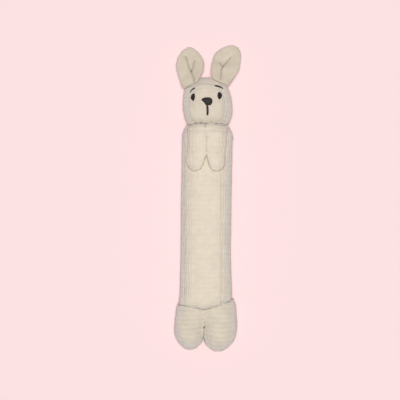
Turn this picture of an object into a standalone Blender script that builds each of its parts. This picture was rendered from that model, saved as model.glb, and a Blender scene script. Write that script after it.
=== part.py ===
"""Anti-roll cushion: a long stuffed bolster with a bunny's head, ears, arms and feet, lying on its back.

Units are metres. +Y runs from the feet to the ears, +Z up from the surface to the face, and +X to the
right of someone who looks down at the face. Every piece is a filled cloth form, closed by its seams.
"""

import bmesh
import bpy
import numpy as np

for old in list(bpy.data.objects):
    bpy.data.objects.remove(old)

# The plush is knitted in soft ribs that run across the cushion.
RIB_PITCH = 0.0096
RIB_DEPTH = 0.0012

# Pieces that are sewn together stand this far apart, and a cutter is this much larger than its piece.
SEAM_GAP = 0.0003
CUT_GAP = 0.0004

# A section is a superellipse of this power: 2 is an ellipse, and more is squarer.
STUFFED_POWER = 2.2
FLAP_POWER = 2.6
FLAT_UNDERSIDE_POWER = 3.0

# Corners round a section of each kind of piece.
BODY_SIDES = 28
HEAD_SIDES = 28
FOOT_SIDES = 24
LIMB_SIDES = 18
STITCH_SIDES = 12

# The neck seam, where the head and the body are drawn in and meet.
NECK_Y = 0.1435

STUFFED = [(name, float) for name in ("y", "left", "right", "low", "high")]
FLAP = [(name, float) for name in ("y", "left", "right", "z_left", "z_right", "thick", "cup")]
PAD = [(name, float) for name in ("along", "near", "far", "thick")]

# Body: from the neck seam to the domed end between the feet. A low edge under 0 is pressed flat.
BODY = np.array(
    [
        (NECK_Y - SEAM_GAP / 2, -0.0395, 0.0410, 0.012, 0.079),
        (0.1386, -0.0418, 0.0418, 0.008, 0.083),
        (0.1347, -0.0440, 0.0435, 0.004, 0.0855),
        (0.1296, -0.0475, 0.0465, 0.000, 0.0870),
        (0.1240, -0.0489, 0.0492, -0.002, 0.0878),
        (0.1150, -0.0496, 0.0503, -0.004, 0.088),
        (0.0950, -0.0502, 0.0492, -0.004, 0.088),
        (0.0540, -0.0514, 0.0486, -0.004, 0.088),
        (-0.0040, -0.0526, 0.0480, -0.004, 0.089),
        (-0.0360, -0.0527, 0.0474, -0.004, 0.089),
        (-0.0830, -0.0530, 0.0469, -0.004, 0.088),
        (-0.1220, -0.0536, 0.0466, -0.004, 0.088),
        (-0.1600, -0.0539, 0.0477, -0.004, 0.088),
        (-0.1840, -0.0545, 0.0482, -0.003, 0.0875),
        (-0.1940, -0.0557, 0.0482, -0.002, 0.0865),
        (-0.2010, -0.0571, 0.0462, 0.001, 0.0845),
        (-0.2080, -0.0554, 0.0402, 0.005, 0.0805),
        (-0.2135, -0.0480, 0.0300, 0.011, 0.0745),
        (-0.2172, -0.0355, 0.0182, 0.020, 0.0655),
        (-0.2192, -0.0185, 0.0055, 0.031, 0.0545),
    ],
    dtype=STUFFED,
)

# Head: wide at the cheeks, with a domed crown between the ears.
HEAD = np.array(
    [
        (0.2366, -0.0050, 0.0066, 0.038, 0.050),
        (0.2340, -0.0170, 0.0185, 0.030, 0.058),
        (0.2290, -0.0287, 0.0292, 0.020, 0.067),
        (0.2200, -0.0405, 0.0386, 0.008, 0.078),
        (0.2110, -0.0462, 0.0427, 0.001, 0.085),
        (0.2010, -0.0472, 0.0457, -0.003, 0.089),
        (0.1890, -0.0484, 0.0483, -0.004, 0.091),
        (0.1760, -0.0484, 0.0494, -0.003, 0.090),
        (0.1650, -0.0471, 0.0490, -0.001, 0.0885),
        (0.1550, -0.0442, 0.0464, 0.003, 0.0855),
        (0.1480, -0.0411, 0.0432, 0.008, 0.0825),
        (NECK_Y + SEAM_GAP / 2, -0.0395, 0.0410, 0.011, 0.080),
    ],
    dtype=STUFFED,
)

# The feet press against each other along a crease, from the hem to where the toes part, as (x, y).
CREASE_TOP = (-0.0038, -0.2165)
CREASE_END = (-0.0080, -0.2690)

# Feet: each starts inside the body's end, which is then cut out of it, and ends in a round toe. The edge
# next to the other foot is where it would be if nothing pressed on it.
FOOT_LEFT = np.array(
    [
        (-0.1930, -0.0440, 0.0040, 0.014, 0.0560),
        (-0.1975, -0.0530, 0.0052, 0.007, 0.0640),
        (-0.2020, -0.0577, 0.0062, 0.003, 0.0690),
        (-0.2060, -0.0594, 0.0066, 0.001, 0.0720),
        (-0.2110, -0.0606, 0.0070, 0.000, 0.0740),
        (-0.2180, -0.0621, 0.0070, -0.002, 0.0755),
        (-0.2280, -0.0632, 0.0055, -0.003, 0.0765),
        (-0.2380, -0.0647, 0.0030, -0.003, 0.0765),
        (-0.2480, -0.0657, -0.0010, -0.003, 0.0755),
        (-0.2580, -0.0661, -0.0052, -0.003, 0.0745),
        (-0.2670, -0.0652, -0.0078, -0.003, 0.0725),
        (-0.2750, -0.0624, -0.0084, -0.001, 0.0690),
        (-0.2830, -0.0578, -0.0110, 0.003, 0.0635),
        (-0.2895, -0.0512, -0.0170, 0.009, 0.0565),
        (-0.2942, -0.0456, -0.0225, 0.016, 0.0485),
        (-0.2972, -0.0400, -0.0300, 0.023, 0.0415),
    ],
    dtype=STUFFED,
)
FOOT_RIGHT = np.array(
    [
        (-0.1880, -0.0040, 0.0400, 0.012, 0.0580),
        (-0.1945, -0.0090, 0.0498, 0.004, 0.0670),
        (-0.2045, -0.0140, 0.0547, 0.000, 0.0730),
        (-0.2170, -0.0160, 0.0568, -0.002, 0.0765),
        (-0.2270, -0.0155, 0.0577, -0.003, 0.0775),
        (-0.2380, -0.0135, 0.0583, -0.003, 0.0775),
        (-0.2480, -0.0105, 0.0587, -0.003, 0.0765),
        (-0.2580, -0.0082, 0.0584, -0.003, 0.0755),
        (-0.2670, -0.0074, 0.0567, -0.003, 0.0735),
        (-0.2760, -0.0076, 0.0538, -0.001, 0.0700),
        (-0.2840, -0.0054, 0.0488, 0.003, 0.0645),
        (-0.2920, 0.0008, 0.0415, 0.009, 0.0565),
        (-0.2970, 0.0085, 0.0345, 0.016, 0.0480),
        (-0.3000, 0.0140, 0.0275, 0.024, 0.0400),
    ],
    dtype=STUFFED,
)

# Ears: thin padded flaps sewn over the front of the crown, that lean back from it.
EAR_LEFT = np.array(
    [
        (0.2135, -0.0470, -0.0440, 0.0550, 0.0560, 0.0040, 0.000),
        (0.2160, -0.0490, -0.0415, 0.0560, 0.0600, 0.0110, 0.000),
        (0.2200, -0.0511, -0.0330, 0.0570, 0.0680, 0.0150, 0.000),
        (0.2245, -0.0521, -0.0212, 0.0560, 0.0730, 0.0160, 0.001),
        (0.2305, -0.0546, -0.0168, 0.0530, 0.0700, 0.0150, 0.003),
        (0.2369, -0.0570, -0.0135, 0.0490, 0.0640, 0.0130, 0.005),
        (0.2450, -0.0588, -0.0092, 0.0450, 0.0560, 0.0120, 0.007),
        (0.2540, -0.0609, -0.0060, 0.0410, 0.0480, 0.0110, 0.009),
        (0.2620, -0.0619, -0.0056, 0.0370, 0.0415, 0.0100, 0.009),
        (0.2700, -0.0604, -0.0069, 0.0335, 0.0360, 0.0100, 0.009),
        (0.2770, -0.0578, -0.0110, 0.0300, 0.0315, 0.0100, 0.008),
        (0.2835, -0.0538, -0.0156, 0.0275, 0.0280, 0.0100, 0.006),
        (0.2890, -0.0492, -0.0212, 0.0255, 0.0255, 0.0090, 0.004),
        (0.2930, -0.0444, -0.0256, 0.0240, 0.0240, 0.0080, 0.002),
        (0.2957, -0.0390, -0.0310, 0.0235, 0.0235, 0.0050, 0.000),
    ],
    dtype=FLAP,
)
EAR_RIGHT = np.array(
    [
        (0.2180, 0.0375, 0.0395, 0.0620, 0.0610, 0.0040, 0.000),
        (0.2215, 0.0330, 0.0430, 0.0660, 0.0600, 0.0110, 0.000),
        (0.2255, 0.0245, 0.0462, 0.0710, 0.0590, 0.0150, 0.000),
        (0.2300, 0.0142, 0.0488, 0.0740, 0.0570, 0.0160, 0.001),
        (0.2350, 0.0085, 0.0526, 0.0710, 0.0540, 0.0150, 0.003),
        (0.2425, 0.0062, 0.0578, 0.0640, 0.0500, 0.0130, 0.005),
        (0.2500, 0.0064, 0.0615, 0.0570, 0.0460, 0.0120, 0.007),
        (0.2590, 0.0074, 0.0640, 0.0490, 0.0420, 0.0110, 0.009),
        (0.2680, 0.0090, 0.0660, 0.0415, 0.0370, 0.0100, 0.009),
        (0.2780, 0.0118, 0.0661, 0.0350, 0.0320, 0.0100, 0.009),
        (0.2860, 0.0172, 0.0652, 0.0300, 0.0285, 0.0100, 0.007),
        (0.2920, 0.0250, 0.0628, 0.0270, 0.0262, 0.0090, 0.004),
        (0.2970, 0.0345, 0.0580, 0.0245, 0.0245, 0.0080, 0.002),
        (0.3000, 0.0445, 0.0515, 0.0235, 0.0235, 0.0050, 0.000),
    ],
    dtype=FLAP,
)

# Arms: flat padded limbs from the neck seam that lie on the chest, side by side.
ARM_LEFT = np.array(
    [
        (0.1405, -0.0376, -0.0030, 0.004),
        (0.1360, -0.0402, -0.0022, 0.008),
        (0.1280, -0.0408, -0.0020, 0.011),
        (0.1120, -0.0398, -0.0020, 0.013),
        (0.0960, -0.0404, -0.0020, 0.014),
        (0.0810, -0.0424, -0.0026, 0.014),
        (0.0720, -0.0430, -0.0046, 0.013),
        (0.0640, -0.0408, -0.0078, 0.012),
        (0.0580, -0.0370, -0.0112, 0.010),
        (0.0540, -0.0322, -0.0146, 0.007),
        (0.0520, -0.0274, -0.0190, 0.004),
    ],
    dtype=PAD,
)
ARM_RIGHT = np.array(
    [
        (0.1405, -0.0006, 0.0380, 0.004),
        (0.1360, -0.0014, 0.0398, 0.008),
        (0.1280, -0.0014, 0.0402, 0.011),
        (0.1120, -0.0014, 0.0385, 0.013),
        (0.0950, -0.0014, 0.0362, 0.014),
        (0.0800, -0.0012, 0.0357, 0.014),
        (0.0700, -0.0002, 0.0353, 0.013),
        (0.0620, 0.0020, 0.0339, 0.012),
        (0.0562, 0.0052, 0.0304, 0.010),
        (0.0528, 0.0090, 0.0260, 0.007),
        (0.0510, 0.0138, 0.0210, 0.004),
    ],
    dtype=PAD,
)

# Features embroidered on the face, as raised pads of thread.
EYE_LEFT = np.array(
    [
        (0.2038, -0.0277, -0.0259, 0.0008),
        (0.2018, -0.0302, -0.0248, 0.0012),
        (0.1980, -0.0324, -0.0244, 0.0016),
        (0.1942, -0.0324, -0.0248, 0.0016),
        (0.1914, -0.0306, -0.0258, 0.0012),
        (0.1893, -0.0287, -0.0268, 0.0008),
    ],
    dtype=PAD,
)
EYE_RIGHT = np.array(
    [
        (0.2064, 0.0221, 0.0240, 0.0008),
        (0.2044, 0.0205, 0.0266, 0.0012),
        (0.2008, 0.0197, 0.0284, 0.0016),
        (0.1975, 0.0199, 0.0280, 0.0016),
        (0.1945, 0.0209, 0.0262, 0.0012),
        (0.1924, 0.0221, 0.0240, 0.0008),
    ],
    dtype=PAD,
)
NOSE = np.array(
    [
        (0.1957, -0.0031, 0.0037, 0.0010),
        (0.1946, -0.0081, 0.0067, 0.0018),
        (0.1924, -0.0115, 0.0089, 0.0024),
        (0.1896, -0.0108, 0.0096, 0.0026),
        (0.1865, -0.0070, 0.0094, 0.0024),
        (0.1830, -0.0046, 0.0081, 0.0018),
        (0.1808, -0.0034, 0.0060, 0.0010),
    ],
    dtype=PAD,
)
MOUTH = np.array(
    [
        (0.1800, -0.0022, 0.0014, 0.0010),
        (0.1780, -0.0022, 0.0017, 0.0012),
        (0.1720, -0.0017, 0.0022, 0.0012),
        (0.1650, -0.0018, 0.0020, 0.0012),
        (0.1612, -0.0013, 0.0013, 0.0008),
    ],
    dtype=PAD,
)
# A brow runs across, so its rows go along X and its edges along Y.
BROW_LEFT = np.array(
    [
        (-0.0342, 0.2050, 0.2064, 0.0008),
        (-0.0326, 0.2074, 0.2097, 0.0010),
        (-0.0304, 0.2103, 0.2127, 0.0010),
        (-0.0274, 0.2121, 0.2144, 0.0010),
        (-0.0242, 0.2136, 0.2150, 0.0008),
    ],
    dtype=PAD,
)
BROW_RIGHT = np.array(
    [
        (0.0140, 0.2182, 0.2196, 0.0008),
        (0.0170, 0.2174, 0.2200, 0.0010),
        (0.0220, 0.2164, 0.2191, 0.0010),
        (0.0265, 0.2145, 0.2171, 0.0010),
        (0.0300, 0.2128, 0.2143, 0.0008),
    ],
    dtype=PAD,
)

# Creases pressed into the front of the ears: where each starts and ends, as (x, y).
CREASE_DEPTH = 0.0026
CREASE_WIDTH = 0.0045
EAR_LEFT_CREASES = (
    ((-0.0424, 0.2777), (-0.0320, 0.2483)),
    ((-0.0254, 0.2683), (-0.0320, 0.2483)),
    ((-0.0320, 0.2483), (-0.0258, 0.2280)),
)
EAR_RIGHT_CREASES = (
    ((0.0490, 0.2810), (0.0300, 0.2575)),
    ((0.0250, 0.2660), (0.0300, 0.2575)),
    ((0.0300, 0.2575), (0.0262, 0.2300)),
)

CREAM = (0.78, 0.68, 0.55)
LINING_BEIGE = (0.66, 0.57, 0.44)
THREAD_BLACK = (0.02, 0.018, 0.016)


def smooth(rows, count):
    """The table's rows as a smooth curve through them, read at count even steps."""
    at = np.linspace(0, len(rows) - 1, count)
    before = np.clip(at.astype(int), 0, len(rows) - 2)
    share = at - before
    read = np.empty(count, rows.dtype)
    for column in rows.dtype.names:
        values = np.pad(rows[column], 1, mode="edge")
        a, b, c, d = (values[before + step] for step in range(4))
        read[column] = b + 0.5 * share * (
            c - a + share * (2 * a - 5 * b + 4 * c - d + share * (3 * (b - c) + d - a))
        )
    return read


def ribbed(rows, reach):
    """The table read at each rib's valley and crest, evenly spaced along a profile that is reach wide."""
    fine = smooth(rows, 800)
    along = rows.dtype.names[0]
    travelled = np.hypot(np.diff(fine[along]), np.diff(reach(fine)))
    travelled = np.concatenate([[0], np.cumsum(travelled)])
    halves = 2 * max(1, round(travelled[-1] / RIB_PITCH))
    at = np.linspace(0, travelled[-1], halves + 1)
    read = np.empty(len(at), rows.dtype)
    for column in rows.dtype.names:
        read[column] = np.interp(at, travelled, fine[column])
    return read


def girth(rows):
    """Mean half size of stuffed sections, for the length of a profile."""
    return (rows["right"] - rows["left"] + rows["high"] - rows["low"]) / 4


def row_at(rows, y):
    """One row of a table of stuffed sections, at any y."""
    fine = smooth(rows, 800)
    order = np.argsort(fine["y"])
    return {c: np.interp(y, fine["y"][order], fine[c][order]) for c in rows.dtype.names}


def top_of(rows, x, y):
    """Height of a stuffed piece's rib crests above the surface, at x and y."""
    row = row_at(rows, y)
    share = (x - (row["left"] + row["right"]) / 2) / ((row["right"] - row["left"]) / 2)
    rise = (1 - min(abs(share), 0.98) ** STUFFED_POWER) ** (1 / STUFFED_POWER)
    return (row["low"] + row["high"]) / 2 + rise * (row["high"] - row["low"]) / 2


def bent(value, power):
    """A cosine or sine drawn out so that the section is a superellipse of that power."""
    return np.sign(value) * abs(value) ** (2 / power)


def pressed(x, y, side):
    """x kept on a foot's own side of the crease between the feet: side is -1 on the left, 1 on the right."""
    crease = np.interp(y, (CREASE_END[1], CREASE_TOP[1]), (CREASE_END[0], CREASE_TOP[0]))
    return side * max(side * x, side * crease + SEAM_GAP / 2)


def from_crease(creases, x, y):
    """Distance from (x, y) to the nearest crease."""
    here = np.array((x, y))
    nearest = np.inf
    for start, end in np.array(creases):
        along = end - start
        share = np.clip((here - start) @ along / (along @ along), 0, 1)
        nearest = min(nearest, np.linalg.norm(start + share * along - here))
    return nearest


def material(name, colour, roughness):
    made = bpy.data.materials.new(name)
    made.use_nodes = True
    shader = made.node_tree.nodes["Principled BSDF"]
    shader.inputs["Base Color"].default_value = (*colour, 1)
    shader.inputs["Roughness"].default_value = roughness
    shader.inputs["Metallic"].default_value = 0
    return made


def tube(name, sides, stations, place, finish):
    """A capped tube of that many sides, cut across at each station.

    Each of its corners goes to place(station, cosine, sine).
    """
    shape = bmesh.new()
    bmesh.ops.create_cone(
        shape, cap_ends=True, segments=sides, radius1=1, radius2=1, depth=1
    )
    lengthwise = [e for e in shape.edges if abs(e.verts[0].co.z - e.verts[1].co.z) > 0.5]
    bmesh.ops.subdivide_edges(shape, edges=lengthwise, cuts=stations - 2, use_grid_fill=True)
    for corner in shape.verts:
        station = round((corner.co.z + 0.5) * (stations - 1))
        angle = np.arctan2(corner.co.y, corner.co.x)
        corner.co = place(station, np.cos(angle), np.sin(angle))
    shape.normal_update()
    bmesh.ops.recalc_face_normals(shape, faces=shape.faces)
    mesh = bpy.data.meshes.new(name)
    shape.to_mesh(mesh)
    shape.free()
    mesh.shade_smooth()
    mesh.set_sharp_from_angle(angle=np.radians(60))
    mesh.materials.append(finish)
    piece = bpy.data.objects.new(name, mesh)
    bpy.context.scene.collection.objects.link(piece)
    piece.parent = cushion
    return piece


def stuffed(name, rows, sides, finish, side=0):
    """A filled form through a table of sections, ribbed across and pressed flat on the surface.

    A foot is pressed flat against the other one too, and side says which foot it is.
    """
    ribs = ribbed(rows, girth)

    def place(station, cosine, sine):
        row = ribs[station]
        inset = RIB_DEPTH if station % 2 == 0 and 0 < station < len(ribs) - 1 else 0
        wide = (row["right"] - row["left"]) / 2 - inset
        tall = (row["high"] - row["low"]) / 2 - inset
        x = (row["left"] + row["right"]) / 2 + wide * bent(cosine, STUFFED_POWER)
        z = (row["low"] + row["high"]) / 2 + tall * bent(sine, STUFFED_POWER)
        return pressed(x, row["y"], side) if side else x, row["y"], max(z, 0)

    return tube(name, sides, len(ribs), place, finish)


def cutter(name, rows, sides, end, finish):
    """The smooth form of a stuffed piece, larger by the cut's gap, and by as much again at its end in y."""
    ribs = ribbed(rows, girth)

    def place(station, cosine, sine):
        row = ribs[station]
        wide = (row["right"] - row["left"]) / 2 + CUT_GAP
        tall = (row["high"] - row["low"]) / 2 + CUT_GAP
        x = (row["left"] + row["right"]) / 2 + wide * bent(cosine, STUFFED_POWER)
        z = (row["low"] + row["high"]) / 2 + tall * bent(sine, STUFFED_POWER)
        return x, row["y"] + end * CUT_GAP, z

    made = tube(name, sides, len(ribs), place, finish)
    made.hide_render = True
    made.display_type = "WIRE"
    return made


def flap(name, rows, creases, finish):
    """A thin padded flap, cupped across, creased on its front and ribbed on its back."""
    ribs = ribbed(rows, lambda table: table["z_left"])

    def place(station, cosine, sine):
        row = ribs[station]
        inset = RIB_DEPTH / 2 if station % 2 == 0 and sine < 0 else 0
        across = bent(cosine, FLAP_POWER)
        x = (row["left"] + row["right"]) / 2 + (row["right"] - row["left"]) / 2 * across
        z = (row["z_left"] + row["z_right"]) / 2 + (row["z_right"] - row["z_left"]) / 2 * across
        z += row["cup"] * across**2 + (row["thick"] / 2 - inset) * bent(sine, FLAP_POWER)
        if sine > 0:
            z -= CREASE_DEPTH * np.exp(-((from_crease(creases, x, row["y"]) / CREASE_WIDTH) ** 2))
        return x, row["y"], z

    return tube(name, LIMB_SIDES, len(ribs), place, finish)


def pad(name, rows, under, sides, finish, ribs=True, across=False):
    """A pad that lies on the stuffed piece under it, with a flattened underside.

    Rows go along Y and edges along X, or the other way round if it runs across.
    """
    rows = ribbed(rows, lambda table: 0 * table["thick"]) if ribs else smooth(rows, 9)

    def place(station, cosine, sine):
        row = rows[station]
        side = (row["near"] + row["far"]) / 2 + (row["far"] - row["near"]) / 2 * cosine
        x, y = (row["along"], side) if across else (side, row["along"])
        inset = RIB_DEPTH if ribs and station % 2 == 0 and 0 < station < len(rows) - 1 else 0
        if sine > 0:
            height = row["thick"] / 2 * (1 + sine) - inset * sine
        else:
            height = row["thick"] / 2 * (1 + bent(sine, FLAT_UNDERSIDE_POWER))
        return x, y, top_of(under, x, y) + SEAM_GAP * 1.5 + height

    return tube(name, sides, len(rows), place, finish)


def cut(piece, by):
    """Cuts out of a piece the room that its neighbour needs."""
    room = piece.modifiers.new("room for " + by.name, "BOOLEAN")
    room.operation = "DIFFERENCE"
    room.object = by


def centre(root):
    """Moves the whole cushion so that its bounding box stands centred on the origin."""
    bpy.context.view_layer.update()
    graph = bpy.context.evaluated_depsgraph_get()
    corners = []
    for piece in root.children:
        if not piece.hide_render:
            mesh = piece.evaluated_get(graph).to_mesh()
            corners += [vertex.co.copy() for vertex in mesh.vertices]
    low, high = np.min(corners, axis=0), np.max(corners, axis=0)
    root.location = (-(low[0] + high[0]) / 2, -(low[1] + high[1]) / 2, 0)


cushion = bpy.data.objects.new("cushion", None)
bpy.context.scene.collection.objects.link(cushion)

plush = material("cream_plush", CREAM, 0.95)
lining = material("ear_velour", LINING_BEIGE, 0.9)
thread = material("black_thread", THREAD_BLACK, 0.6)

# Bolster and head, which meet at the neck seam.
stuffed("body", BODY, BODY_SIDES, plush)
stuffed("head", HEAD, HEAD_SIDES, plush)

# Feet, hollowed at the top where the body's domed end sits in them.
body_room = cutter("body_room", BODY, BODY_SIDES, -1, plush)
cut(stuffed("foot_left", FOOT_LEFT, FOOT_SIDES, plush, side=-1), body_room)
cut(stuffed("foot_right", FOOT_RIGHT, FOOT_SIDES, plush, side=1), body_room)

# Ears, trimmed where they are sewn to the crown.
head_room = cutter("head_room", HEAD, HEAD_SIDES, 1, plush)
cut(flap("ear_left", EAR_LEFT, EAR_LEFT_CREASES, lining), head_room)
cut(flap("ear_right", EAR_RIGHT, EAR_RIGHT_CREASES, lining), head_room)

# Arms on the chest.
pad("arm_left", ARM_LEFT, BODY, LIMB_SIDES, plush)
pad("arm_right", ARM_RIGHT, BODY, LIMB_SIDES, plush)

# Embroidered face.
for name, rows in (("eye_left", EYE_LEFT), ("eye_right", EYE_RIGHT), ("nose", NOSE), ("mouth", MOUTH)):
    pad(name, rows, HEAD, STITCH_SIDES, thread, ribs=False)
for name, rows in (("brow_left", BROW_LEFT), ("brow_right", BROW_RIGHT)):
    pad(name, rows, HEAD, STITCH_SIDES, thread, ribs=False, across=True)

centre(cushion)
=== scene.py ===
import bmesh
import bpy
import numpy as np
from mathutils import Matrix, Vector, bvhtree, kdtree, noise


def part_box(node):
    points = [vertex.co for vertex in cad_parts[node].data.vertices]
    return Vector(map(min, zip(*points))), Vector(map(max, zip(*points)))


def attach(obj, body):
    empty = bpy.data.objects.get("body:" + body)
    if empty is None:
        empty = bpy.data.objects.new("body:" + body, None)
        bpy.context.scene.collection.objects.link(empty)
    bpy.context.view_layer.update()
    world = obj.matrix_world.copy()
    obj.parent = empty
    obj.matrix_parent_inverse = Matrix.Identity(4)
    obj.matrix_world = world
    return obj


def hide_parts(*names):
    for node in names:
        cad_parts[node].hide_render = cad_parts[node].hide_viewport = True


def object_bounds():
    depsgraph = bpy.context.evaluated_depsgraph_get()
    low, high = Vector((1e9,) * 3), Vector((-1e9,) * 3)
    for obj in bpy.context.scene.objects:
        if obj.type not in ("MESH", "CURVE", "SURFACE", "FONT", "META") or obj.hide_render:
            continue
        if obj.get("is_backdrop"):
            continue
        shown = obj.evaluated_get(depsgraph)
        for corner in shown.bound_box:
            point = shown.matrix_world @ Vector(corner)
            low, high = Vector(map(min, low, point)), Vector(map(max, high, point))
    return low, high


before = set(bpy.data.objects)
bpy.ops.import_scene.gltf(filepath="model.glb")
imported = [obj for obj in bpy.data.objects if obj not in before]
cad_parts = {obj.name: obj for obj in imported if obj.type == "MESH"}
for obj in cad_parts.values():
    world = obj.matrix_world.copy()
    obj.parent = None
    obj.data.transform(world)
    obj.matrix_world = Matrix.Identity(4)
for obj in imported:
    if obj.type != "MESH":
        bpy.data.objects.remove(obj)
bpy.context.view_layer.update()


# The bolster
# One long tube of waffle-knit plush, closed at a domed end and drawn in at the neck, then filled. The
# knit stands in soft puffs at the sides and behind. Over the front it is stretched nearly smooth, and
# only faint ribs across are left of it.

RIB_PITCH = 0.0095
RIB_DEPTH = 0.0008
PUFF_WIDTH = 0.0064
PUFF_DEPTH = 0.0012
STAGGER = 0.18
FURROW_SHARPNESS = 0.5
FRONT_SLOPE = 0.93
FLANK_SLOPE = 0.40
FRONT_RIBS = 0.30
FLANK_RIBS = 0.45
FRONT_PUFFS = 0.05
PUFFS_FROM = 0.97
PUFFS_FULL = 0.80
RIB_WANDER = 0.14
PUFF_WANDER = 0.20
FLANK_WANDER = 0.12
SEAM_FLATTENS = 0.7
FUZZ_DEPTH = 0.0003
LUMP_DEPTH = 0.0004
# Painted shade: RIB_SHADE and PUFF_SHADE darken the knit's furrows, and RIM_SHADE darkens where the cloth
# faces sideways, as a dark rim seen from above.
RIB_SHADE = 0.19
PUFF_SHADE = 0.24
RIM_SHADE = 0.24
RIM_SLOPE = 0.04
RIM_SPREAD = 0.14
FRONT_Z = 0.045
NECK_Y = 0.1435
NECK_GATHERS = 23
GATHER_DEPTH = 0.0004
GATHER_REACH = 0.009
# NECK_SHADE and FOLD_SHADE are painted shade at the neck seam and in its folds.
NECK_SHADE = 0.13
FOLD_WANDER = 3.0
FOLD_SHADE = 0.04
NECK_WANDER = 0.0030
NECK_BOW = 0.0042
NECK_BOW_REACH = 0.010

CLOTH_EASE = 0.065
CLOTH_PRESSURE = 6
CLOTH_STEPS = 20
BODY_CELL = 0.0045
BODY_SEAMS_X = (-0.045, 0.027)
BODY_SEAM_DEPTH = 0.0006
SEAM_WIDTH = 0.0014
SEAM_REACH = 0.0026
SEAM_TAKE = 0.0006

PLUSH_CREAM = (0.845, 0.742, 0.605)
# The dark cream is painted shade, which the plush is mixed towards in its furrows, seams, creases and at
# its rims.
PAINTED_SHADE_CREAM = (0.24, 0.21, 0.18)
# A painted cool tint for the sides, where they turn from the light.
PAINTED_SIDE_TINT = (0.965, 1.02, 1.12)
PILE_SIZE = 0.0011
PATCH_SIZE = 0.016
PATCH_STRENGTH = 0.2
PATCH_GAIN = 1.8


def points(piece):
    """A piece's vertices, as an array."""
    found = np.empty(3 * len(piece.data.vertices))
    piece.data.vertices.foreach_get("co", found)
    return found.reshape(-1, 3)


def outward(piece):
    """The direction out of the cloth at each vertex."""
    found = np.empty(3 * len(piece.data.vertices))
    piece.data.vertices.foreach_get("normal", found)
    return found.reshape(-1, 3)


def put(piece, places):
    """Moves a piece's vertices to new places, and none of them under the surface it lies on."""
    places[:, 2] = np.maximum(places[:, 2], 0)
    piece.data.vertices.foreach_set("co", places.ravel())
    piece.data.update()


def settle(piece):
    """Makes what a piece's modifiers show its own mesh."""
    graph = bpy.context.evaluated_depsgraph_get()
    made = bpy.data.meshes.new_from_object(piece.evaluated_get(graph))
    piece.modifiers.clear()
    piece.data = made


def cover_of(node, cell, easing):
    """A closed cloth cover over a CAD node, of even cells, with the node's own ribs eased out."""
    shape = bmesh.new()
    shape.from_mesh(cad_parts[node].data)
    bmesh.ops.remove_doubles(shape, verts=shape.verts, dist=1e-6)
    mesh = bpy.data.meshes.new(node + "_cover")
    shape.to_mesh(mesh)
    shape.free()
    cover = bpy.data.objects.new(node + "_cover", mesh)
    bpy.context.scene.collection.objects.link(cover)
    cells = cover.modifiers.new("cells", "REMESH")
    cells.mode = "VOXEL"
    cells.voxel_size = cell
    ease = cover.modifiers.new("ease", "SMOOTH")
    ease.factor = 0.5
    ease.iterations = easing
    settle(cover)
    return cover


def fill(cover, slack, proud):
    """Swells a slack cover with filling, until it stands that little proud of its own solid."""
    full, out = points(cover), outward(cover)
    put(cover, full - slack * out)
    cloth = cover.modifiers.new("cloth", "CLOTH")
    cloth.settings.quality = 6
    cloth.settings.mass = 0.25
    cloth.settings.tension_stiffness = 12
    cloth.settings.compression_stiffness = 6
    cloth.settings.bending_stiffness = 0.3
    cloth.settings.use_pressure = True
    cloth.settings.uniform_pressure_force = CLOTH_PRESSURE
    cloth.settings.shrink_min = -CLOTH_EASE
    cloth.settings.effector_weights.gravity = 0
    cloth.point_cache.frame_start, cloth.point_cache.frame_end = 1, CLOTH_STEPS
    for step in range(1, CLOTH_STEPS + 1):
        bpy.context.scene.frame_set(step)
    settle(cover)
    bpy.context.scene.frame_set(1)
    moved = points(cover) - full
    rise = (moved * out).sum(axis=1)
    aside = moved - rise[:, None] * out
    aside *= np.minimum(1, slack / np.maximum(np.linalg.norm(aside, axis=1), 1e-9))[:, None]
    full = full + aside + np.clip(rise, 0, proud)[:, None] * out
    put(cover, full)
    finer = cover.modifiers.new("finer", "SUBSURF")
    finer.levels = finer.render_levels = 2
    settle(cover)


def solid_of(*nodes):
    """CAD nodes as one tree, to find the nearest place on them."""
    shape = bmesh.new()
    for node in nodes:
        shape.from_mesh(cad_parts[node].data)
    tree = bvhtree.BVHTree.FromBMesh(shape)
    shape.free()
    return tree


def meet(cover, node, *neighbours):
    """Takes a cover right up to the seams with its neighbours, where it follows its own solid again."""
    own, others = solid_of(node), solid_of(*neighbours)
    places = points(cover)
    closeness = np.zeros(len(places))
    for index, place in enumerate(places):
        gap = others.find_nearest(place, 3 * SEAM_REACH)[3]
        if gap is not None:
            closeness[index] = near(gap, SEAM_REACH)
            places[index] += closeness[index] * (np.array(own.find_nearest(place)[0]) - place)
    put(cover, places)
    mark(cover, "seam", closeness)


def wander(places, size, seed):
    """Slow noise between about -1 and 1 over the cloth, for what no maker keeps straight."""
    return np.array([noise.noise(Vector(p) / size + Vector((seed, seed, seed))) for p in places])


def cloth_length(places, y):
    """How far along the cloth's profile each point is, as it is longer than its axis round a dome."""
    step = 0.002
    marks = np.arange(places[:, 1].min() - step, places[:, 1].max() + 2 * step, step)
    reach = np.zeros(len(marks))
    which = np.digitize(places[:, 1], marks) - 1
    for mark in np.unique(which):
        across = places[which == mark, 0]
        reach[mark] = (across.max() - across.min()) / 2
    gone = np.concatenate([[0], np.cumsum(np.hypot(step, np.diff(reach)))])
    return np.interp(y, marks, gone)


def furrow(phase):
    """0 on the crown of a puff and 1 in the furrow on each side of it."""
    return 1 - np.abs(np.sin(np.pi * phase)) ** FURROW_SHARPNESS


def near(distance, width):
    """1 on a seam, falling to 0 a little way from it."""
    return np.exp(-((distance / width) ** 2))


def eased(value, start, end):
    """0 at start and before it, 1 at end and after it, and a smooth rise between them."""
    share = np.clip((value - start) / (end - start), 0, 1)
    return share * share * (3 - 2 * share)


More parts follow.
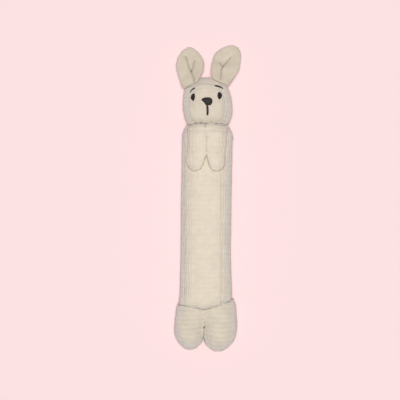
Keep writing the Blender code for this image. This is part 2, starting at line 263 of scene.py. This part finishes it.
def knit(cover, along, around, depth=1.0, nap_shade=0.0, ribs=FRONT_RIBS, puffs=1.0):
    """Raises the knit's puffs in a cover. along and around count ribs and puffs at each vertex.

    nap is painted shade: it darkens a cover a little, where its pile lies another way than the bolster's.
    ribs is how much of the ribs across is left in front, and puffs how deep the furrows along the sides
    are. The furrow mark it keeps is painted shade in the furrows, and where the cloth faces sideways a
    little more shade is painted.
    """
    places, out = points(cover), outward(cover)
    flank = eased(out[:, 2] + FLANK_WANDER * wander(places, 0.025, 5), FRONT_SLOPE, FLANK_SLOPE)
    along = along + RIB_WANDER * wander(places, 0.045, 3)
    around = around + STAGGER * np.sin(np.pi * along) + PUFF_WANDER * wander(places, 0.030, 7)
    depth = depth * (1 - SEAM_FLATTENS * marked(cover, "seam"))
    worn = np.clip(0.75 + 0.9 * wander(places, 0.028, 17), 0.15, 1.3)
    across = furrow(along) * (ribs * worn * (1 - flank) + FLANK_RIBS * flank)
    turned = np.sqrt(np.maximum(0, 1 - out[:, 0] ** 2)) * eased(out[:, 2], -0.3, 0.2)
    at_side = eased(turned, PUFFS_FROM, PUFFS_FULL)
    lengthwise = furrow(around) * (FRONT_PUFFS + (1 - FRONT_PUFFS) * at_side) * puffs
    sink = depth * (RIB_DEPTH * across + PUFF_DEPTH * lengthwise)
    sink = sink + FUZZ_DEPTH * flank * wander(places, 0.005, 11) + LUMP_DEPTH * wander(places, 0.018, 13)
    # Painted shade: darker in the furrows, where the cloth faces sideways, and by the nap.
    shade = depth * (RIB_SHADE * across + PUFF_SHADE * lengthwise)
    shade = shade + RIM_SHADE * near(out[:, 2] - RIM_SLOPE, RIM_SPREAD) + nap_shade * (1 - 0.6 * flank)
    mark(cover, "furrow", np.clip(shade, 0, 1))
    mark(cover, "flank", flank)
    put(cover, places - sink[:, None] * out)


def mark(cover, name, values):
    """Keeps one number for each vertex, which the material can read."""
    kept = cover.data.attributes.get(name) or cover.data.attributes.new(name, "FLOAT", "POINT")
    kept.data.foreach_set("value", values)


def marked(cover, name):
    """The numbers that mark keeps, one for each vertex."""
    values = np.empty(len(cover.data.vertices))
    cover.data.attributes[name].data.foreach_get("value", values)
    return values


def sew(cover, closeness, depth, shade=0.22):
    """Draws the cloth in along a seam, and paints shade into the seam's furrow."""
    put(cover, points(cover) - (depth * closeness)[:, None] * outward(cover))
    mark(cover, "furrow", np.clip(marked(cover, "furrow") + shade * closeness, 0, 1))


def bow_neck(cover):
    """Bends the cloth round the neck seam up in the middle of the front, where the chin pulls it."""
    places = points(cover)
    in_front = eased(places[:, 2], 0.040, 0.060) * eased(np.abs(places[:, 0]), 0.040, 0.008)
    places[:, 1] += NECK_BOW * near(places[:, 1] - NECK_Y, NECK_BOW_REACH) * in_front
    put(cover, places)


def gather(cover, side):
    """Small folds that run out from the neck seam, on the side of it that the cover is on.

    The seam itself wanders a little, by the same amount in both covers.
    """
    places = points(cover)
    angle = np.arctan2(places[:, 2] - places[:, 2].mean(), places[:, 0])
    away = np.maximum(0, side * (places[:, 1] - NECK_Y))
    folds = 0.5 + 0.5 * np.cos(NECK_GATHERS * angle + FOLD_WANDER * wander(places, 0.04, 19))
    folds = folds * np.clip(0.45 + 0.9 * wander(places, 0.035, 37), 0, 1)
    # Painted shade in the folds, and a painted band of shade along the neck seam.
    sew(cover, folds * np.exp(-away / GATHER_REACH), GATHER_DEPTH, FOLD_SHADE)
    sew(cover, np.exp(-away / (0.5 * GATHER_REACH)), 0, NECK_SHADE)
    places = points(cover)
    seam_line = places * (1, 0, 1)
    places[:, 1] += NECK_WANDER * wander(seam_line, 0.012, 29) * np.exp(-away / GATHER_REACH)
    put(cover, places)


def plush(name, crown, deep):
    """Knitted plush with a short soft pile, matt, with painted shade: mixed towards a dark cream by the
    furrow mark, and tinted cool on the flanks.
    """
    made = bpy.data.materials.new(name)
    made.use_nodes = True
    nodes, link = made.node_tree.nodes, made.node_tree.links.new
    shader = nodes["Principled BSDF"]
    shader.inputs["Roughness"].default_value = 1.0
    shader.inputs["Specular IOR Level"].default_value = 0.1
    shader.inputs["Sheen Weight"].default_value = 0.15
    shader.inputs["Sheen Roughness"].default_value = 0.6
    shader.inputs["Sheen Tint"].default_value = (0.90, 0.95, 1.0, 1)
    place = nodes.new("ShaderNodeTexCoord")
    # The furrow mark is painted shade: it mixes the cloth towards the dark cream.
    depth = nodes.new("ShaderNodeAttribute")
    depth.attribute_name = "furrow"
    side = nodes.new("ShaderNodeAttribute")
    side.attribute_name = "flank"
    # A painted cool tint on the sides, set by the flank mark.
    side_tint = nodes.new("ShaderNodeMix")
    side_tint.data_type = "RGBA"
    side_tint.blend_type = "MULTIPLY"
    side_tint.inputs["B"].default_value = (*PAINTED_SIDE_TINT, 1)
    pile = nodes.new("ShaderNodeTexNoise")
    pile.inputs["Scale"].default_value = 1 / PILE_SIZE
    pile.inputs["Detail"].default_value = 3
    patch = nodes.new("ShaderNodeTexNoise")
    patch.inputs["Scale"].default_value = 1 / PATCH_SIZE
    patch.inputs["Detail"].default_value = 5
    patch.inputs["Roughness"].default_value = 0.7
    cloth = nodes.new("ShaderNodeMix")
    cloth.data_type = "RGBA"
    cloth.inputs["A"].default_value = (*crown, 1)
    cloth.inputs["B"].default_value = (*deep, 1)
    worn = nodes.new("ShaderNodeMix")
    worn.data_type = "RGBA"
    worn.blend_type = "MULTIPLY"
    worn.inputs["Factor"].default_value = PATCH_STRENGTH
    tone = nodes.new("ShaderNodeMath")
    tone.operation = "MULTIPLY_ADD"
    tone.inputs[1].default_value = PATCH_GAIN
    tone.inputs[2].default_value = 0.0
    relief = nodes.new("ShaderNodeBump")
    relief.inputs["Strength"].default_value = 0.7
    relief.inputs["Distance"].default_value = 0.0005
    link(place.outputs["Object"], pile.inputs["Vector"])
    link(place.outputs["Object"], patch.inputs["Vector"])
    link(depth.outputs["Fac"], cloth.inputs["Factor"])
    link(side.outputs["Fac"], side_tint.inputs["Factor"])
    link(cloth.outputs["Result"], side_tint.inputs["A"])
    link(side_tint.outputs["Result"], worn.inputs["A"])
    link(patch.outputs["Fac"], tone.inputs[0])
    link(tone.outputs["Value"], worn.inputs["B"])
    link(worn.outputs["Result"], shader.inputs["Base Color"])
    link(pile.outputs["Fac"], relief.inputs["Height"])
    link(relief.outputs["Normal"], shader.inputs["Normal"])
    return made


def finish(cover, node, slot, firmness, *cloths):
    """Gives a finished cover its cloth, and puts it in place of its CAD node."""
    cover.data.materials.clear()
    for cloth in cloths:
        cover.data.materials.append(cloth)
    cover.data.shade_smooth()
    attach(cover, "root")
    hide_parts(node)


cream_plush = plush("cream_plush", PLUSH_CREAM, PAINTED_SHADE_CREAM)


def round_the_tube(places, low, high):
    """How many puffs round its long axis each point is, starting under the cushion."""
    middle = (low + high) / 2
    angle = np.arctan2(places[:, 0] - middle.x, places[:, 2] - middle.z)
    girth = 2 * np.pi * (high.x - low.x + high.z - low.z) / 4
    return angle / (2 * np.pi) * round(girth / PUFF_WIDTH)


body = cover_of("body", BODY_CELL, easing=3)
fill(body, slack=0.0020, proud=0.0014)
meet(body, "body", "head", "foot_left", "foot_right")
spots = points(body)
knit(
    body,
    along=cloth_length(spots, spots[:, 1]) / RIB_PITCH,
    around=round_the_tube(spots, *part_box("body")),
)
spots = points(body)
# The side seams are drawn in, and painted shade darkens them.
for seam_x in BODY_SEAMS_X:
    off = spots[:, 0] - seam_x - 0.0020 * wander(spots, 0.030, 23)
    sew(body, near(off, SEAM_WIDTH) * (spots[:, 2] > FRONT_Z), BODY_SEAM_DEPTH, shade=0.11)
gather(body, side=-1)
bow_neck(body)
finish(body, "body", "cream_plush", 0.85, cream_plush)


# The feet
# Two round plush bags, filled firmly and sewn to the bolster's end under its curved hem. The ribs of the
# knit run across them, and bow towards the toes where the cloth is pulled round.

FOOT_CELL = 0.0028
TOE_BOW = 0.0070
BOW_FROM_Y = -0.232
BOW_OVER = 0.035
CREASE_TOP = (-0.0038, -0.2165)
CREASE_END = (-0.0080, -0.2690)
CREASE_REACH = 0.0060
CREASE_DIMPLE = (-0.0059, -0.2523)
DIMPLE_WIDTH = 0.0015
DIMPLE_DEPTH = 0.0022
PRESS_FROM_Y = (-0.2780, -0.2620)
# The feet's nap darkening is painted shade.
FOOT_NAP_SHADE = 0.125
FOOT_RIBS = 0.90
FOOT_PUFFS = 0.40
TOE_FROM_Y = (-0.262, -0.282)


def press(cover, side, line, reach, stretch):
    """Fills a cover out flat against its neighbour, on its own side of the line where they meet.

    stretch gives, for each vertex, how much of the pressing it gets.
    """
    places = points(cover)
    (x_end, y_end), (x_top, y_top) = line
    meeting = np.interp(places[:, 1], (y_end, y_top), (x_end, x_top))
    near_it = eased(side * (places[:, 0] - meeting), reach, 0) * stretch
    places[:, 0] -= side * reach * near_it
    places[:, 0] = side * np.maximum(side * places[:, 0], side * meeting - SEAM_TAKE / 4)
    put(cover, places)


for node, other, side in (("foot_left", "foot_right", -1), ("foot_right", "foot_left", 1)):
    low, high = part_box(node)
    foot = cover_of(node, FOOT_CELL, easing=3)
    fill(foot, slack=0.0015, proud=0.0005)
    meet(foot, node, "body", other)
    spots = points(foot)
    press(foot, side, (CREASE_END, CREASE_TOP), CREASE_REACH, stretch=eased(spots[:, 1], *PRESS_FROM_Y))
    spots = points(foot)
    off_middle = np.clip((spots[:, 0] - (low.x + high.x) / 2) / (high.x - low.x) * 2, -1, 1)
    bow = TOE_BOW * np.clip((BOW_FROM_Y - spots[:, 1]) / BOW_OVER, 0, 1) * off_middle**2
    knit(
        foot,
        along=cloth_length(spots, spots[:, 1] - bow) / RIB_PITCH,
        around=round_the_tube(spots, low, high),
        nap_shade=FOOT_NAP_SHADE,
        ribs=FOOT_RIBS,
        puffs=FOOT_PUFFS + (1 - FOOT_PUFFS) * eased(spots[:, 1], *TOE_FROM_Y),
    )
    # The dimple is drawn in, and painted shadow darkens it.
    from_dimple = np.hypot(spots[:, 0] - CREASE_DIMPLE[0], spots[:, 1] - CREASE_DIMPLE[1])
    sew(foot, near(from_dimple, DIMPLE_WIDTH) * (spots[:, 2] > FRONT_Z), DIMPLE_DEPTH, shade=0.8)
    finish(foot, node, "cream_plush", 0.8, cream_plush)


# The head
# A plush ball with a smooth oval face panel let into it, filled firmly and drawn in at the neck. The
# thread of the embroidery pulls the face in under the eyes, nose, mouth and brows.

HEAD_CELL = 0.0032
CROWN_BOW = 0.0120
CROWN_FROM_Y = 0.195
CROWN_OVER = 0.035
FACE_CENTRE = (-0.0020, 0.1820)
FACE_HALF_WIDTH = 0.0345
FACE_HALF_HEIGHT = 0.0430
FACE_POWER = 2.6
FACE_SEAM_DEPTH = 0.0006
FACE_RELIEF = 0.5
# The head's nap darkening is painted shade.
HEAD_NAP_SHADE = 0.11
CROWN_RIBS = 1.3
HEAD_PUFFS = 1.4
PULL_REACH = 0.0045
PULL_DEPTH = 0.0004
FEATURES = ("eye_left", "eye_right", "nose", "mouth", "brow_left", "brow_right")


def pull_in(cover, features):
    """Draws a cover in under its embroidered features, so that each lies on it and it swells round them."""
    pads = solid_of(*features)
    places = points(cover)
    for place in places:
        hit = pads.find_nearest(place, 3 * PULL_REACH)
        if hit[0] is None:
            continue
        aside = np.hypot(hit[0].x - place[0], hit[0].y - place[1])
        pull = np.exp(-((aside / PULL_REACH) ** 2))
        bed = pads.ray_cast((place[0], place[1], 0), (0, 0, 1))[0]
        level = (bed or hit[0]).z - PULL_DEPTH
        place[2] += pull * min(0, level - place[2]) if place[2] > 0.03 else 0
    put(cover, places)


head = cover_of("head", HEAD_CELL, easing=3)
fill(head, slack=0.0015, proud=0.0004)
meet(head, "head", "body", "ear_left", "ear_right")
spots = points(head)
side = np.clip(spots[:, 0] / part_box("head")[1].x, -1, 1)
bow = CROWN_BOW * np.clip((spots[:, 1] - CROWN_FROM_Y) / CROWN_OVER, 0, 1) * side**2
oval = (np.abs(spots[:, 0] - FACE_CENTRE[0]) / FACE_HALF_WIDTH) ** FACE_POWER
oval = (oval + (np.abs(spots[:, 1] - FACE_CENTRE[1]) / FACE_HALF_HEIGHT) ** FACE_POWER) ** (1 / FACE_POWER)
in_front = spots[:, 2] > FRONT_Z
on_face = in_front & (oval < 1)
knit(
    head,
    along=cloth_length(spots, spots[:, 1] + bow) / RIB_PITCH,
    around=round_the_tube(spots, *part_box("head")),
    depth=np.where(on_face, FACE_RELIEF, 1.0),
    nap_shade=HEAD_NAP_SHADE * eased(spots[:, 1], CROWN_FROM_Y + 0.03, CROWN_FROM_Y + 0.01),
    ribs=FRONT_RIBS + (CROWN_RIBS - FRONT_RIBS) * eased(spots[:, 1], CROWN_FROM_Y, CROWN_FROM_Y + 0.02),
    puffs=HEAD_PUFFS * eased(spots[:, 1], CROWN_FROM_Y + 0.03, CROWN_FROM_Y),
)
# The face seam is drawn in, with a little painted shade.
sew(head, near((oval - 1) * FACE_HALF_WIDTH, SEAM_WIDTH) * in_front, FACE_SEAM_DEPTH, shade=0.05)
gather(head, side=1)
bow_neck(head)
pull_in(head, FEATURES)
finish(head, "head", "cream_plush", 0.8, cream_plush)


# The arms
# Two flat mittens of the same plush with a little filling, sewn into the neck seam. They lie on the
# chest, edge to edge, and a few stitches tack them together.

ARM_CELL = 0.0028
ARM_RELIEF = 0.65
# How much of the painted cool tint the arms and ears take on their sides.
FLAP_FLANK = 0.3
ARM_HEM_Y = 0.1303
ARM_EDGE = 0.0012
TACK_Y = (0.1395, 0.136, 0.1325, 0.129, 0.125, 0.121, 0.1165, 0.1115, 0.107, 0.102, 0.0975, 0.0925, 0.088)
TACK_LENGTH = 0.0042
TACK_WIDTH = 0.0036
TACK_THICKNESS = 0.0016
TACK_SLANT = 0.25
ARM_MEETING = ((-0.0016, 0.05), (-0.0016, 0.14))
ARM_PRESS = 0.0045
ARM_PRESS_FROM = (0.074, 0.092)


def from_rim(cover):
    """Distance in plan from each vertex to the edge of a flap, where its cloth turns from front to back."""
    shape = bmesh.new()
    shape.from_mesh(cover.data)
    shape.normal_update()
    turns = [
        edge.verts[0].co
        for edge in shape.edges
        if edge.link_faces[0].normal.z * edge.link_faces[-1].normal.z <= 0
    ]
    rim = kdtree.KDTree(len(turns))
    for index, place in enumerate(turns):
        rim.insert((place.x, place.y, 0), index)
    rim.balance()
    shape.free()
    return np.array([rim.find((v.co.x, v.co.y, 0))[2] for v in cover.data.vertices])


for node, side in (("arm_left", -1), ("arm_right", 1)):
    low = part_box(node)[0]
    arm = cover_of(node, ARM_CELL, easing=1)
    fill(arm, slack=0.0010, proud=0.0012)
    mark(arm, "seam", np.zeros(len(arm.data.vertices)))
    spots = points(arm)
    press(arm, side, ARM_MEETING, ARM_PRESS, stretch=eased(spots[:, 1], *ARM_PRESS_FROM))
    spots = points(arm)
    mark(arm, "seam", near(spots[:, 0] - ARM_MEETING[0][0], ARM_PRESS / 2))
    inset = from_rim(arm)
    knit(
        arm,
        along=(spots[:, 1] - low.y) / RIB_PITCH,
        around=(spots[:, 0] - low.x) / PUFF_WIDTH,
        depth=ARM_RELIEF,
    )
    # On the arm, the flank mark only sets its painted cool tint.
    mark(arm, "flank", FLAP_FLANK * marked(arm, "flank"))
    # The hem is drawn in with painted shade along it, and a painted dark outline, for the shadow under the
    # rim, runs round the arm.
    hem = near(spots[:, 1] - ARM_HEM_Y - 0.001 * wander(spots, 0.015, 37), SEAM_WIDTH / 2)
    sew(arm, hem, BODY_SEAM_DEPTH / 2, shade=0.20)
    sew(arm, near(inset, ARM_EDGE), 0, shade=0.45)
    bow_neck(arm)
    finish(arm, node, "cream_plush", 0.45, cream_plush)

arms = bmesh.new()
for node in ("arm_left", "arm_right"):
    arms.from_mesh(bpy.data.objects[node + "_cover"].data)
arm_tops = bvhtree.BVHTree.FromBMesh(arms)
arms.free()
tacks = bmesh.new()
for tack_y in TACK_Y:
    ends = []
    for end in (-0.5, 0.5):
        above = (ARM_MEETING[0][0] + end * TACK_LENGTH, tack_y + TACK_SLANT * end * TACK_LENGTH, 0.2)
        ends.append(arm_tops.ray_cast(above, (0, 0, -1))[0])
    made = bmesh.ops.create_icosphere(tacks, subdivisions=2, radius=TACK_THICKNESS / 2)["verts"]
    run = ends[1] - ends[0]
    stretch = (run.length / TACK_THICKNESS, TACK_WIDTH / TACK_THICKNESS, 1)
    bmesh.ops.scale(tacks, verts=made, vec=stretch)
    bmesh.ops.rotate(tacks, verts=made, matrix=run.to_track_quat("X", "Z").to_matrix())
    bmesh.ops.translate(tacks, verts=made, vec=(ends[0] + ends[1]) / 2)
tack_mesh = bpy.data.meshes.new("arm_tacks")
tacks.to_mesh(tack_mesh)
tacks.free()
tack_mesh.materials.append(cream_plush)
tack_mesh.shade_smooth()
arm_tacks = bpy.data.objects.new("arm_tacks", tack_mesh)
bpy.context.scene.collection.objects.link(arm_tacks)
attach(arm_tacks, "root")


# The ears
# Leaf-shaped flaps with smooth beige velour in front and ribbed plush behind, which shows as a rim
# outside the seam. Each is pinched at its root, so that a forked crease runs up the velour.

EAR_CELL = 0.0018
EAR_RIM = 0.0028
EAR_SEAM_DEPTH = 0.0008
CREASE_WIDTH = 0.0017
CREASE_DEPTH = 0.0013
EAR_RELIEF = 0.45
EAR_EDGE = 0.0012
EAR_RIM_SHADE = 0.10
VELOUR_BEIGE = (0.735, 0.642, 0.508)
CREASES = {
    "ear_left": (
        ((-0.0424, 0.2777), (-0.0357, 0.2559), (-0.0320, 0.2483), (-0.0271, 0.2350), (-0.0258, 0.2260)),
        ((-0.0254, 0.2683), (-0.0285, 0.2570), (-0.0320, 0.2483)),
    ),
    "ear_right": (
        ((0.0459, 0.2757), (0.0383, 0.2673), (0.0306, 0.2577), (0.0279, 0.2520), (0.0262, 0.2320)),
        ((0.0250, 0.2653), (0.0275, 0.2610), (0.0306, 0.2577)),
    ),
}


def from_line(places, line):
    """Distance in plan from each point to a line with corners."""
    here = places[:, :2]
    nearest = np.full(len(here), np.inf)
    for start, end in zip(np.array(line[:-1]), np.array(line[1:])):
        run = end - start
        share = np.clip((here - start) @ run / (run @ run), 0, 1)
        nearest = np.minimum(nearest, np.linalg.norm(here - start - share[:, None] * run, axis=1))
    return nearest


velour = plush("ear_velour", VELOUR_BEIGE, PAINTED_SHADE_CREAM)

for node, creases in CREASES.items():
    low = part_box(node)[0]
    ear = cover_of(node, EAR_CELL, easing=2)
    fill(ear, slack=0.0006, proud=0.0003)
    meet(ear, node, "head")
    spots = points(ear)
    inset = from_rim(ear)
    velour_side = (outward(ear)[:, 2] > 0) & (inset > EAR_RIM)
    knit(
        ear,
        along=(spots[:, 1] - low.y) / RIB_PITCH,
        around=(spots[:, 0] - low.x) / PUFF_WIDTH,
        depth=np.where(velour_side, 0.0, EAR_RELIEF),
    )
    front = outward(ear)[:, 2] > 0
    # Painted shade: a little on the rim in front, the knit's painted shade on the back, and none on the
    # velour.
    mark(ear, "furrow", np.where(velour_side, 0.0, np.where(front, EAR_RIM_SHADE, marked(ear, "furrow"))))
    # On the ear, the flank mark only sets the painted cool tint of its rim and back.
    mark(ear, "flank", np.where(velour_side, 0.0, FLAP_FLANK))
    # A painted dark outline along the ear's edge, and painted shade in the drawn-in seam and creases.
    sew(ear, near(inset, EAR_EDGE) * front, 0, shade=0.5)
    sew(ear, near(inset - EAR_RIM, SEAM_WIDTH / 2) * front, EAR_SEAM_DEPTH, shade=0.16)
    for crease in creases:
        sew(ear, near(from_line(spots, crease), CREASE_WIDTH) * front, CREASE_DEPTH, shade=0.42)
    finish(ear, node, "ear_velour", 0.3, velour, cream_plush)
    for face in ear.data.polygons:
        face.material_index = 0 if np.mean(velour_side[list(face.vertices)]) > 0.5 else 1


# The embroidered features
# Satin stitches of black thread, laid close together over a little padding, so that each feature stands
# up from the face and its edge is slightly uneven.

THREAD_PITCH = 0.0010
THREAD_RELIEF = 0.00016
THREAD_PROUD = 0.00025
THREAD_CELL = 0.00028
THREAD_BLACK = (0.016, 0.013, 0.012)
THREAD_WORN = (0.032, 0.026, 0.023)
STRAND_SIZE = 0.0008
STITCH_SLANT = {
    "eye_left": 0.10,
    "eye_right": -0.10,
    "nose": 0.0,
    "mouth": 0.15,
    "brow_left": 1.9,
    "brow_right": -1.9,
}

thread = bpy.data.materials.new("black_thread")
thread.use_nodes = True
shader = thread.node_tree.nodes["Principled BSDF"]
shader.inputs["Roughness"].default_value = 0.55
shader.inputs["Specular IOR Level"].default_value = 0.25
strand = thread.node_tree.nodes.new("ShaderNodeTexNoise")
strand.inputs["Scale"].default_value = 1 / STRAND_SIZE
dye = thread.node_tree.nodes.new("ShaderNodeMix")
dye.data_type = "RGBA"
dye.inputs["A"].default_value = (*THREAD_BLACK, 1)
dye.inputs["B"].default_value = (*THREAD_WORN, 1)
where = thread.node_tree.nodes.new("ShaderNodeTexCoord")
thread.node_tree.links.new(where.outputs["Object"], strand.inputs["Vector"])
thread.node_tree.links.new(strand.outputs["Fac"], dye.inputs["Factor"])
thread.node_tree.links.new(dye.outputs["Result"], shader.inputs["Base Color"])

for node, slant in STITCH_SLANT.items():
    stitches = cover_of(node, THREAD_CELL, easing=2)
    spots = points(stitches)
    lie = spots[:, 1] * np.cos(slant) + spots[:, 0] * np.sin(slant)
    lie = lie + 0.00015 * wander(spots, 0.003, 31)
    ridge = np.abs(np.sin(np.pi * lie / THREAD_PITCH)) - 0.5
    put(stitches, spots + (THREAD_PROUD + THREAD_RELIEF * ridge)[:, None] * outward(stitches))
    stitches.data.materials.clear()
    stitches.data.materials.append(thread)
    stitches.data.shade_smooth()
    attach(stitches, "root")
    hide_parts(node)


# The surface, the light and the camera
# A plain pale pink surface, soft light from straight above, and a long lens that looks straight down at
# the face, which lies a little right of the middle.

FLOOR_PINK = (1.0, 0.775, 0.79)
FLOOR_HALF = 6
FLOOR_DROP = 0.0002
ROOM_COLOUR = (0.90, 0.96, 1)
ROOM_STRENGTH = 0.26
SUN_COLOUR = (1, 0.985, 0.965)
SUN_STRENGTH = 2.32
SUN_SPREAD = 9
CAMERA_HEIGHT = 8.0
SENSOR = 0.036
VIEW_WIDTH = 0.7820
VIEW_CENTRE = (-0.01441, -0.0036)
MID_HEIGHT = 0.045

floor_shape = bmesh.new()
bmesh.ops.create_grid(floor_shape, x_segments=1, y_segments=1, size=FLOOR_HALF)
bmesh.ops.translate(floor_shape, verts=floor_shape.verts, vec=(0, 0, -FLOOR_DROP))
floor_mesh = bpy.data.meshes.new("floor")
floor_shape.to_mesh(floor_mesh)
floor_shape.free()
floor = bpy.data.objects.new("floor", floor_mesh)
bpy.context.scene.collection.objects.link(floor)
paper = bpy.data.materials.new("pale_pink_paper")
paper.use_nodes = True
shader = paper.node_tree.nodes["Principled BSDF"]
shader.inputs["Base Color"].default_value = (*FLOOR_PINK, 1)
shader.inputs["Roughness"].default_value = 0.95
shader.inputs["Specular IOR Level"].default_value = 0.1
floor_mesh.materials.append(paper)
floor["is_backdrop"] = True

sky = bpy.data.worlds.new("soft_room")
sky.use_nodes = True
sky.node_tree.nodes["Background"].inputs["Color"].default_value = (*ROOM_COLOUR, 1)
sky.node_tree.nodes["Background"].inputs["Strength"].default_value = ROOM_STRENGTH
bpy.context.scene.world = sky

overhead = bpy.data.lights.new("overhead", "SUN")
overhead.energy = SUN_STRENGTH
overhead.color = SUN_COLOUR
overhead.angle = np.radians(SUN_SPREAD)
overhead_light = bpy.data.objects.new("overhead", overhead)
bpy.context.scene.collection.objects.link(overhead_light)
overhead_light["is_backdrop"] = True

lens = bpy.data.cameras.new("camera")
lens.sensor_width = SENSOR * 1000
lens.lens = lens.sensor_width * (CAMERA_HEIGHT - MID_HEIGHT) / VIEW_WIDTH
lens.clip_end = 50
camera = bpy.data.objects.new("camera", lens)
camera.location = (*VIEW_CENTRE, CAMERA_HEIGHT)
bpy.context.scene.collection.objects.link(camera)
bpy.context.scene.camera = camera
bpy.context.scene.view_settings.view_transform = "Standard"

low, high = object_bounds()
